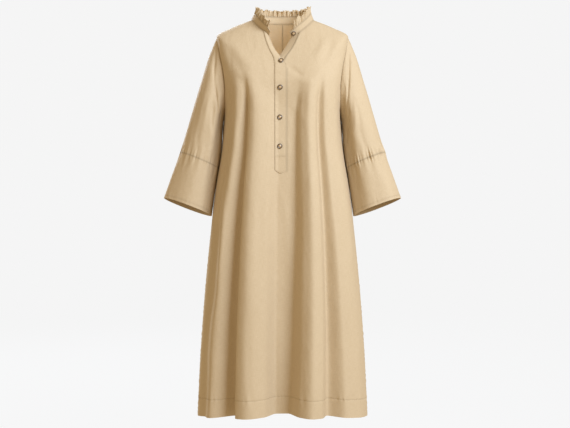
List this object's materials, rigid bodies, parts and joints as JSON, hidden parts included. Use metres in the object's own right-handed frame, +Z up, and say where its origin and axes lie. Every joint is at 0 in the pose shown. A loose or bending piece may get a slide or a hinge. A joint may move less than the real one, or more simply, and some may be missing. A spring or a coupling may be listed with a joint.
{
  "type": "midi shirt dress",
  "caption": "A-line cotton midi dress, filled out as worn, with a frilled stand collar open in a V, a button half placket, wide three-quarter sleeves and deep cuffs.",
  "frame": {"origin": "middle of the neck, at the height where the shoulder seams meet the collar, where a wearer or a form carries the dress", "axes": "+Z up, -Y towards the front, +X towards the wearer's left"},
  "size_m": [0.7107, 0.3323, 1.2339],
  "materials": {
    "cloth": "plain khaki cotton with a soft sheen",
    "button": "polished brown horn look"
  },
  "bodies": {
    "root": {"front_panel": "cloth", "back_left": "cloth", "back_right": "cloth", "sleeve_left": "cloth", "sleeve_right": "cloth", "cuff_left": "cloth", "cuff_right": "cloth", "top_placket": "cloth", "under_placket": "cloth", "collar_band": "cloth", "collar_frill": "cloth", "button_1": "button", "button_2": "button", "button_3": "button", "button_4": "button", "collar_button": "button"}
  },
  "joints": []
}
